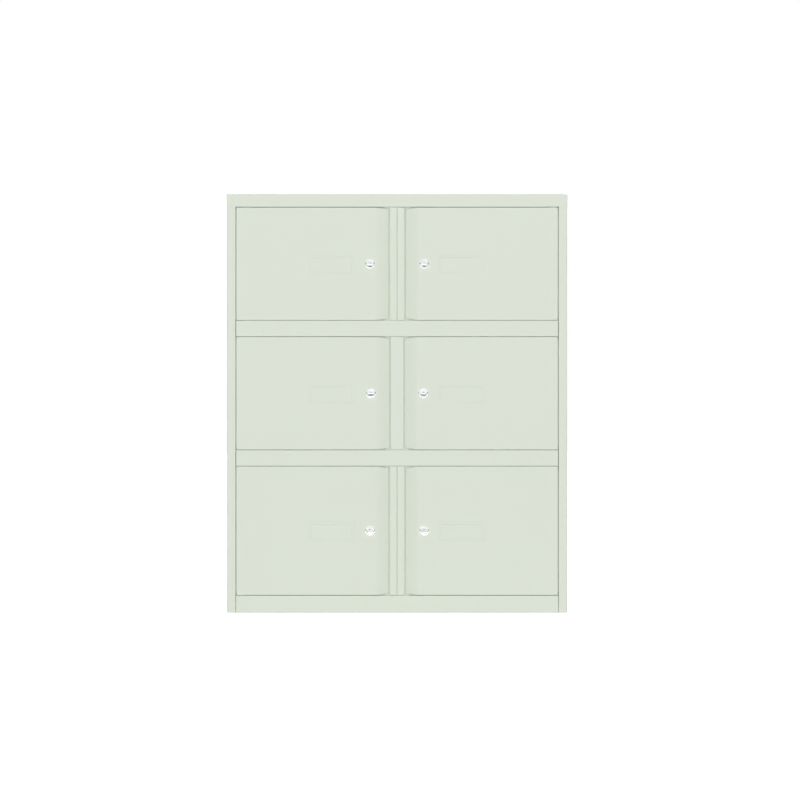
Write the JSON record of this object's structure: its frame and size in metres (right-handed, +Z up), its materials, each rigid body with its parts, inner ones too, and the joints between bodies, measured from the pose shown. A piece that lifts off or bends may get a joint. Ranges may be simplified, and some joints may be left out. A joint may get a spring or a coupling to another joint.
{
  "type": "office locker",
  "caption": "Steel office locker with hinged doors, each with a curved finger pull, a cam lock and a label holder.",
  "frame": {"origin": "on the floor, under the middle of the whole outline", "axes": "+X to the right as seen from the front, +Y from the doors to the back, +Z up"},
  "size_m": [0.8, 0.473, 0.9825],
  "materials": {
    "paint": "pale grey-green powder coat, satin",
    "chrome": "bright chrome plate",
    "zinc": "bright zinc plate",
    "nylon": "natural white nylon",
    "holder": "moulded plastic in the colour of the paint",
    "rubber": "dark rubber",
    "foot": "black moulded plastic on a zinc-plated stud"
  },
  "bodies": {
    "carcass": {"left_side": "paint", "right_side": "paint", "back_panel": "paint", "top_cap": "paint", "base_pan": "paint", "plinth": "paint", "upper_shelf": "paint", "lower_shelf": "paint", "upper_rail": "paint", "lower_rail": "paint", "upper_left_partition": "paint", "upper_right_partition": "paint", "middle_partition": "paint", "lower_left_partition": "paint", "lower_right_partition": "paint", "middle_post": "paint", "hinge_pins": "zinc", "door_stops": "paint", "door_buffers": "rubber", "foot_brackets": "zinc"},
    "lower_left_door": {"lower_left_door": "paint", "lower_left_hinge_bushes": "nylon", "lower_left_label_holder": "holder", "lower_left_lock_body": "chrome"},
    "lower_left_lock": {"lower_left_lock_plug": "chrome", "lower_left_lock_cam": "zinc"},
    "lower_right_door": {"lower_right_door": "paint", "lower_right_hinge_bushes": "nylon", "lower_right_label_holder": "holder", "lower_right_lock_body": "chrome"},
    "lower_right_lock": {"lower_right_lock_plug": "chrome", "lower_right_lock_cam": "zinc"},
    "middle_left_door": {"middle_left_door": "paint", "middle_left_hinge_bushes": "nylon", "middle_left_label_holder": "holder", "middle_left_lock_body": "chrome"},
    "middle_left_lock": {"middle_left_lock_plug": "chrome", "middle_left_lock_cam": "zinc"},
    "middle_right_door": {"middle_right_door": "paint", "middle_right_hinge_bushes": "nylon", "middle_right_label_holder": "holder", "middle_right_lock_body": "chrome"},
    "middle_right_lock": {"middle_right_lock_plug": "chrome", "middle_right_lock_cam": "zinc"},
    "upper_left_door": {"upper_left_door": "paint", "upper_left_hinge_bushes": "nylon", "upper_left_label_holder": "holder", "upper_left_lock_body": "chrome"},
    "upper_left_lock": {"upper_left_lock_plug": "chrome", "upper_left_lock_cam": "zinc"},
    "upper_right_door": {"upper_right_door": "paint", "upper_right_hinge_bushes": "nylon", "upper_right_label_holder": "holder", "upper_right_lock_body": "chrome"},
    "upper_right_lock": {"upper_right_lock_plug": "chrome", "upper_right_lock_cam": "zinc"},
    "front_left_foot": {"front_left_foot": "foot"},
    "front_right_foot": {"front_right_foot": "foot"},
    "back_left_foot": {"back_left_foot": "foot"},
    "back_right_foot": {"back_right_foot": "foot"}
  },
  "joints": [
    {"name": "lower_left_door_hinge", "type": "hinge", "parent": "carcass", "child": "lower_left_door", "pos_m": [-0.3628, -0.2265, 0.1925], "axis": [0, 0, -1], "range_deg": [0, 110]},
    {"name": "lower_left_lock_turn", "type": "hinge", "parent": "lower_left_door", "child": "lower_left_lock", "pos_m": [-0.0637, -0.2335, 0.1925], "axis": [0, -1, 0], "range_deg": [0, 90]},
    {"name": "lower_right_door_hinge", "type": "hinge", "parent": "carcass", "child": "lower_right_door", "pos_m": [0.3628, -0.2265, 0.1925], "axis": [0, 0, 1], "range_deg": [0, 110]},
    {"name": "lower_right_lock_turn", "type": "hinge", "parent": "lower_right_door", "child": "lower_right_lock", "pos_m": [0.0637, -0.2335, 0.1925], "axis": [0, 1, 0], "range_deg": [0, 90]},
    {"name": "middle_left_door_hinge", "type": "hinge", "parent": "carcass", "child": "middle_left_door", "pos_m": [-0.3628, -0.2265, 0.51525], "axis": [0, 0, -1], "range_deg": [0, 110]},
    {"name": "middle_left_lock_turn", "type": "hinge", "parent": "middle_left_door", "child": "middle_left_lock", "pos_m": [-0.06145, -0.2335, 0.51525], "axis": [0, -1, 0], "range_deg": [0, 90]},
    {"name": "middle_right_door_hinge", "type": "hinge", "parent": "carcass", "child": "middle_right_door", "pos_m": [0.3628, -0.2265, 0.51525], "axis": [0, 0, 1], "range_deg": [0, 110]},
    {"name": "middle_right_lock_turn", "type": "hinge", "parent": "middle_right_door", "child": "middle_right_lock", "pos_m": [0.06145, -0.2335, 0.51525], "axis": [0, 1, 0], "range_deg": [0, 90]},
    {"name": "upper_left_door_hinge", "type": "hinge", "parent": "carcass", "child": "upper_left_door", "pos_m": [-0.3628, -0.2265, 0.81925], "axis": [0, 0, -1], "range_deg": [0, 110]},
    {"name": "upper_left_lock_turn", "type": "hinge", "parent": "upper_left_door", "child": "upper_left_lock", "pos_m": [-0.0637, -0.2335, 0.81925], "axis": [0, -1, 0], "range_deg": [0, 90]},
    {"name": "upper_right_door_hinge", "type": "hinge", "parent": "carcass", "child": "upper_right_door", "pos_m": [0.3628, -0.2265, 0.81925], "axis": [0, 0, 1], "range_deg": [0, 110]},
    {"name": "upper_right_lock_turn", "type": "hinge", "parent": "upper_right_door", "child": "upper_right_lock", "pos_m": [0.0637, -0.2335, 0.81925], "axis": [0, 1, 0], "range_deg": [0, 90]},
    {"name": "front_left_foot_travel", "type": "slide", "parent": "carcass", "child": "front_left_foot", "axis": [0, 0, -1], "range_m": [0, 0.012]},
    {"name": "front_right_foot_travel", "type": "slide", "parent": "carcass", "child": "front_right_foot", "axis": [0, 0, -1], "range_m": [0, 0.012]},
    {"name": "back_left_foot_travel", "type": "slide", "parent": "carcass", "child": "back_left_foot", "axis": [0, 0, -1], "range_m": [0, 0.012]},
    {"name": "back_right_foot_travel", "type": "slide", "parent": "carcass", "child": "back_right_foot", "axis": [0, 0, -1], "range_m": [0, 0.012]}
  ]
}
